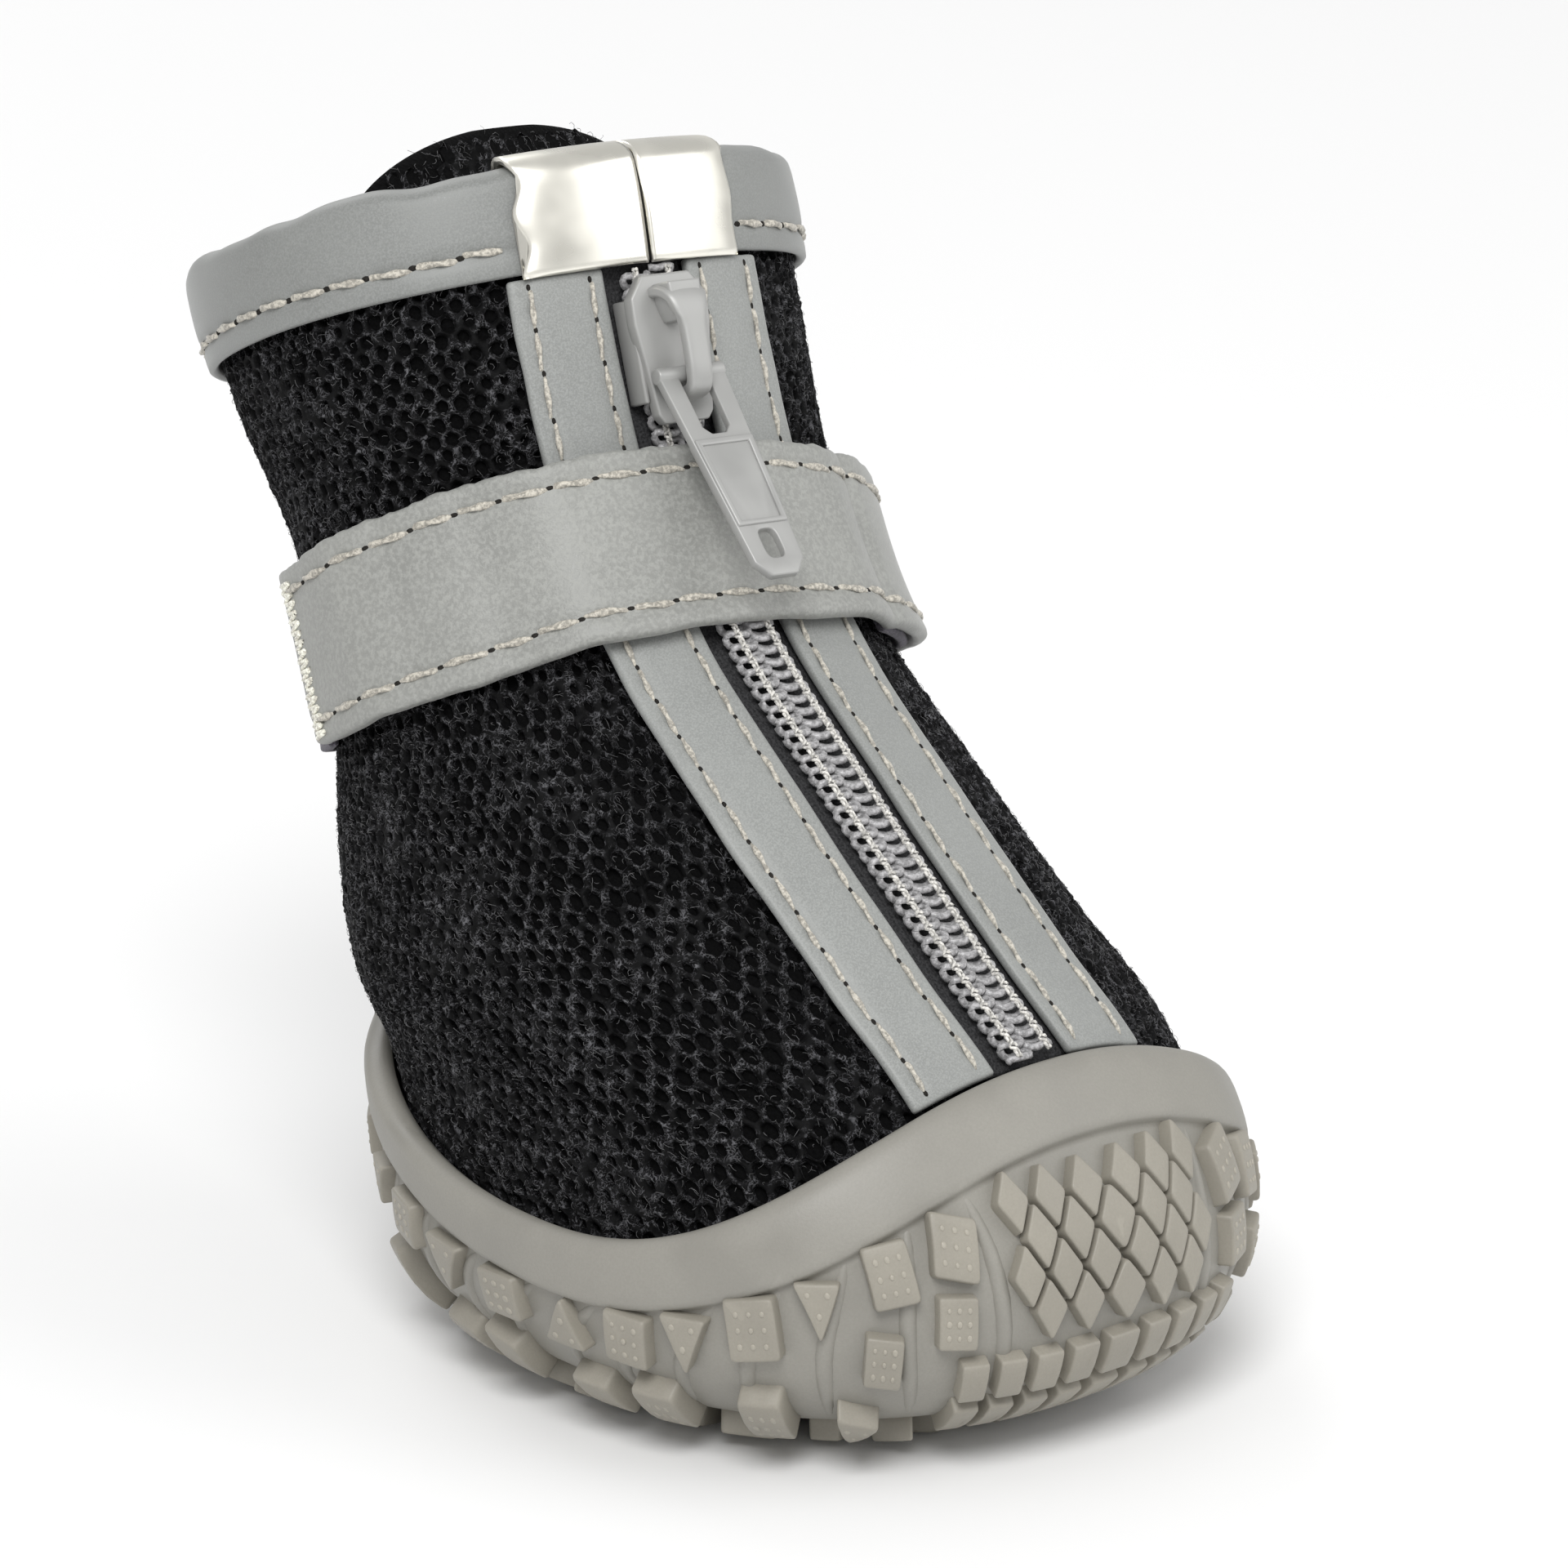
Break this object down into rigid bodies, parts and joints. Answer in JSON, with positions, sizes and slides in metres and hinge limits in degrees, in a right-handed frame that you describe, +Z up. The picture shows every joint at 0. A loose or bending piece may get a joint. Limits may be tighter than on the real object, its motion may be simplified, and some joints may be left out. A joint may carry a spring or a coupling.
{
  "type": "dog boot",
  "caption": "Dog boot with a rubber cup sole with tread lugs, black mesh upper, front zip with pull tab, reflective edge tapes, collar band and ankle strap.",
  "frame": {"origin": "on the ground, at the face of the tread's hexagon lug under the middle of the foot", "axes": "+Z is up and the toe points to -Y. Looking from the heel to the toe, the right-hand side is -X, which is the side that the picture shows"},
  "size_m": [0.0552, 0.091, 0.0833],
  "materials": {
    "sole_rubber": "warm grey moulded rubber, satin",
    "insole_fabric": "black brushed fabric",
    "black_mesh": "black knitted spacer mesh with small holes",
    "zip_weave": "dark woven tape",
    "zip_coil": "grey coil and thread",
    "reflective_tape": "cool grey reflective tape, stitched",
    "bright_clip": "bright pressed plate",
    "reflective_strap": "grey reflective strap, fine grain, stitched",
    "loop_knit": "purple-grey loop knit",
    "zip_paint": "grey paint, satin"
  },
  "bodies": {
    "boot": {"outsole": "sole_rubber", "insole": "insole_fabric", "upper": "black_mesh", "tongue": "black_mesh", "zip_tape": "zip_weave", "zip_coil": "zip_coil", "edge_tape_left": "reflective_tape", "edge_tape_right": "reflective_tape", "collar_binding": "reflective_tape", "end_clip_left": "bright_clip", "end_clip_right": "bright_clip", "strap": "reflective_strap", "loop_band": "loop_knit", "zip_slider": "zip_paint"},
    "pull": {"zip_pull": "zip_paint"}
  },
  "joints": [
    {"name": "pull_hinge", "type": "hinge", "parent": "boot", "child": "pull", "pos_m": [-0.00035, 0.01151, 0.068], "axis": [-0.9931, 0.1049, 0.0523], "range_deg": [0, 120]}
  ]
}
